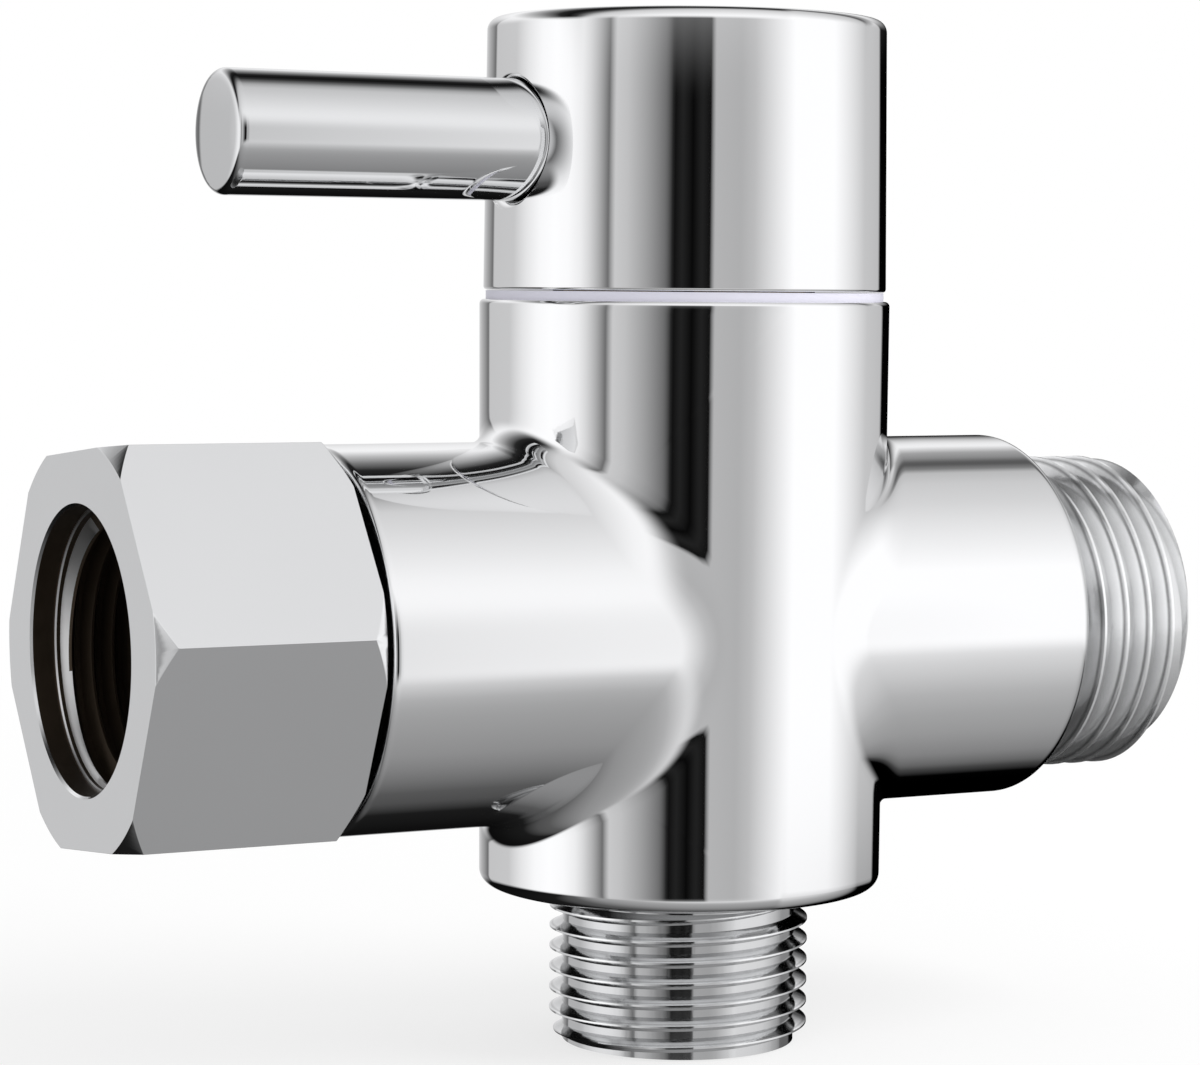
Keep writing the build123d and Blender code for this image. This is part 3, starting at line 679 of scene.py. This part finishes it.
# The nut's bore: a brass hue painted almost black, as the shade inside the nut.
nut_bore_painted_shade = add_finish("nut_bore_painted_shade", (0.07, 0.052, 0.036), spread=0.25, metallic=0.9, roughness=0.45, uneven=0.2)
lead_in_chrome = add_finish("lead_in_chrome", (0.80, 0.80, 0.80), spread=0.06, metallic=1.0, roughness=0.38)
dress(nut, satin_chrome)
nut.data.materials.append(nut_bore_painted_shade)
nut.data.materials.append(lead_in_chrome)

# By depth from the front: painted shade on the mouth's relief and the threaded bore, chrome on the lead-in.
mouth_depth, lead_in_from, lead_in_to, bore_from = 1.45 * mm, 1.3 * mm, 2.3 * mm, 2.2 * mm
bore_to = nut_front - nut_rear - 0.1 * mm
nut_bore_slot, lead_in_slot = 1, 2
for face in nut.data.polygons:
    off_axis = hypot(face.center.y, face.center.z - arm_height)
    depth = nut_front + face.center.x
    in_mouth = mouth_bevel < depth < mouth_depth and off_axis < mouth_radius + skin
    if in_mouth or bore_from < depth < bore_to and off_axis < mouth_radius:
        face.material_index = nut_bore_slot
    elif lead_in_from < depth < lead_in_to and off_axis < mouth_radius:
        face.material_index = lead_in_slot
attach(nut, "union_nut")
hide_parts("swivel_nut")


# Retaining ring and washer: a spring wire ring snapped in the spigot's groove behind the nut's flange, and a
# flat moulded rubber ring on the spigot's end.
spring_steel = add_finish("spring_steel", (0.56, 0.57, 0.60), metallic=1.0, roughness=0.30,
                          stretch=(1, 0.2, 1))
black_rubber = add_finish("black_rubber", (0.022, 0.022, 0.024), spread=0.15, roughness=0.62, uneven=0.12,
                          depth=0.08)
dress(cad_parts["nut_retaining_ring"], spring_steel)
dress(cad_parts["inlet_washer"], black_rubber)

# Cartridge: two lapped ceramic discs in a moulded housing, turned by a brass spindle on a slippery washer.
# A brass ring nut holds it down in the barrel's top, a spring clip holds the spindle in it, and rubber rings
# seal them.
lapped_ceramic = add_finish("lapped_ceramic", (0.86, 0.85, 0.81), spread=0.02, roughness=0.16, uneven=0.06,
                            depth=0.01)
housing_plastic = add_finish("housing_plastic", (0.74, 0.75, 0.76), roughness=0.38, depth=0.05)
slide_plastic = add_finish("slide_plastic", (0.83, 0.82, 0.78), roughness=0.30, depth=0.03)
turned_brass = add_finish("turned_brass", (0.72, 0.52, 0.25), spread=0.06, metallic=1.0, roughness=0.24,
                          uneven=0.10, grain=1500.0, depth=0.06, stretch=(1, 1, 0.1))
for name in ("fixed_disc", "moving_disc"):
    dress(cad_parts[name], lapped_ceramic)
for name in ("spindle", "spline_insert", "bonnet_nut"):
    dress(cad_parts[name], turned_brass)
for name in ("base_seal", "housing_o_ring", "lower_o_ring", "upper_o_ring"):
    dress(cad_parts[name], black_rubber)
dress(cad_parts["spindle_clip"], spring_steel)
dress(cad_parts["cartridge_housing"], housing_plastic)
dress(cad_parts["thrust_washer"], slide_plastic)

# Glide ring: a thin moulded ring of pale lilac-white plastic on the barrel's top edge. The knob turns on it,
# and its rim shows as a bright line between the knob and the barrel.
glide_plastic = add_finish("glide_plastic", (0.80, 0.79, 0.90), spread=0.02, roughness=0.35)
dress(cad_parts["glide_ring"], glide_plastic)


# Knob: a turned brass cup, polished and chromed, with a hub for the splined insert, a bored seat for the
# lever in its side and a set screw's hole at the back.
knob_foot, knob_top = 48.2 * mm, 65.4 * mm
knob_foot_radius, knob_top_radius, knob_cavity_radius = 12.85 * mm, 12.7 * mm, 10.7 * mm
knob_foot_round, knob_top_round = 0.2 * mm, 0.8 * mm
knob_roof, hub_foot, hub_radius, insert_radius = 63.0 * mm, 52.75 * mm, 5.7 * mm, 4.2 * mm
insert_top = hub_foot + 7.0 * mm
lever_height, lever_radius, lever_foot = 57.5 * mm, 3.8 * mm, 10.9 * mm
lever_lug_radius, lug_end = 3.9 * mm, knob_top_radius - 1.0 * mm
screw_height, screw_lug_radius, screw_hole_radius = 55.2 * mm, 3.4 * mm, 2.05 * mm
past_knob = 14.0 * mm
top_edge = arc(knob_top_radius - knob_top_round, knob_top - knob_top_round, knob_top_round, 0, 90, 10)
foot_edge = arc(knob_foot_radius - knob_foot_round, knob_foot + knob_foot_round, knob_foot_round, 0, -90, 5)
knob_outline = [(0, knob_top)] + top_edge[::-1] + foot_edge
knob_outline += [(knob_cavity_radius, knob_foot), (knob_cavity_radius, knob_roof), (hub_radius, knob_roof),
                 (hub_radius, hub_foot), (insert_radius, hub_foot), (insert_radius, insert_top),
                 (0, insert_top)]
knob = turned_piece("control_knob", knob_outline, steps=360)
whole_knob = knob.copy()
whole_knob.data = knob.data.copy()
bpy.context.collection.objects.link(whole_knob)
smooth_by_angle(whole_knob)
combine(knob, post(lever_lug_radius, -lug_end, 0.0, axis="X", z=lever_height), "UNION")
screw_lug = turned_piece("screw_lug", [(0, 0), (screw_lug_radius, 0), (screw_lug_radius, lug_end),
                                       (0, lug_end)], steps=64, axis="Y", centre=(0, 0, screw_height))
combine(knob, screw_lug, "UNION")
combine(knob, post(insert_radius, hub_foot - 0.5 * mm, insert_top), "DIFFERENCE")

# The lever's seat: a hole for the stud, a flat floor, and a mouth whose flared rim follows the knob's wall.
stud_hole_radius, stud_hole_floor = 2.55 * mm, 6.2 * mm
seat_radius, seat_rim = lever_radius + 0.12 * mm, 0.42 * mm


def ring_at(radius, depth):
    """One flat ring of the seat's cutter, at a distance from the knob's axis."""
    return [Vector((-depth, radius * sin(t), lever_height + radius * cos(t))) for t in turns[::3]]


def ring_on_wall(radius, sink):
    """One ring of the seat's cutter that follows the knob's wall, sunk under it."""
    row = []
    for t in turns[::3]:
        y, z = radius * sin(t), radius * cos(t)
        wall = sqrt(knob_top_radius ** 2 - y * y) + 0.06 * mm
        row.append(Vector((-(wall - sink), y, lever_height + z)))
    return row


seat = rolled_sheet("seat", [ring_at(0, stud_hole_floor), ring_at(stud_hole_radius, stud_hole_floor),
                             ring_at(stud_hole_radius, lever_foot), ring_at(seat_radius, lever_foot),
                             ring_on_wall(seat_radius, seat_rim), ring_on_wall(seat_radius + seat_rim, 0.0),
                             ring_on_wall(seat_radius + seat_rim, -1.0 * mm),
                             ring_at(0, past_knob + 0.5 * mm)])
close_skin(seat)
combine(knob, seat, "DIFFERENCE")
screw_hole = turned_piece("screw_hole", [(0, 0), (screw_hole_radius, 0), (screw_hole_radius, past_knob),
                                         (0, past_knob)], steps=96, axis="Y", centre=(0, 0, screw_height))
combine(knob, screw_hole, "DIFFERENCE")
smooth_by_angle(knob)

# The outer wall takes its shading from the knob before it was cut, so that it stays even round the holes.
outside = knob.vertex_groups.new(name="outside")
wall_inside, wall_end = knob_top_radius - skin, knob_top - 0.9 * mm
outer_wall = [corner.index for corner in knob.data.vertices
              if hypot(corner.co.x, corner.co.y) > wall_inside and corner.co.z < wall_end]
outside.add(outer_wall, 1.0, "REPLACE")
take(knob)
carry = knob.modifiers.new("carry_normals", "DATA_TRANSFER")
carry.object = whole_knob
carry.use_loop_data = True
carry.data_types_loops = {"CUSTOM_NORMAL"}
carry.loop_mapping = "POLYINTERP_NEAREST"
carry.vertex_group = "outside"
bpy.ops.object.modifier_apply(modifier=carry.name)
bpy.data.objects.remove(whole_knob)
dress(knob, polished_chrome)
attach(knob, "handle")
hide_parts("knob")

# Lever: a straight turned brass rod, polished and chromed, with a shallow crowned end and a small round at
# its edge. Its stud is screwed into the knob.
crown_centre, crown_radius, crown_edge = 12.4 * mm, 20.0 * mm, 80.51
edge_height, edge_centre, edge_round = 3.2 * mm, 31.534 * mm, 0.6 * mm
stud_radius, stud_end, stud_bevel_radius, stud_bevel = 2.5 * mm, 6.5 * mm, 2.1 * mm, 6.9 * mm
lever_outline = arc(0, crown_centre, crown_radius, 90, crown_edge, 14)
lever_outline += arc(edge_height, edge_centre, edge_round, crown_edge, 0, 10)
lever_outline += [(lever_radius, lever_foot), (stud_radius, lever_foot), (stud_radius, stud_bevel),
                  (stud_bevel_radius, stud_end), (0, stud_end)]
lever = turned_piece("control_lever", lever_outline, steps=240, axis="-X", centre=(0, 0, lever_height))
smooth_by_angle(lever)
# The lever's chrome is the polished chrome with its colour painted darker, as shade.
lever_chrome_painted_shade = add_finish("lever_chrome_painted_shade", (0.80, 0.805, 0.81), spread=0.008, metallic=1.0, roughness=0.035,
                          uneven=0.02, grain=260.0, depth=0.004)
dress(lever, lever_chrome_painted_shade)
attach(lever, "handle")
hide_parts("lever")

# Set screw: a small socket screw of blackened steel, screwed in from the knob's back. It locks the knob on
# the spindle.
screw_steel = add_finish("screw_steel", (0.10, 0.10, 0.11), spread=0.08, metallic=0.8, roughness=0.35,
                         uneven=0.10)
dress(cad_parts["grub_screw"], screw_steel)
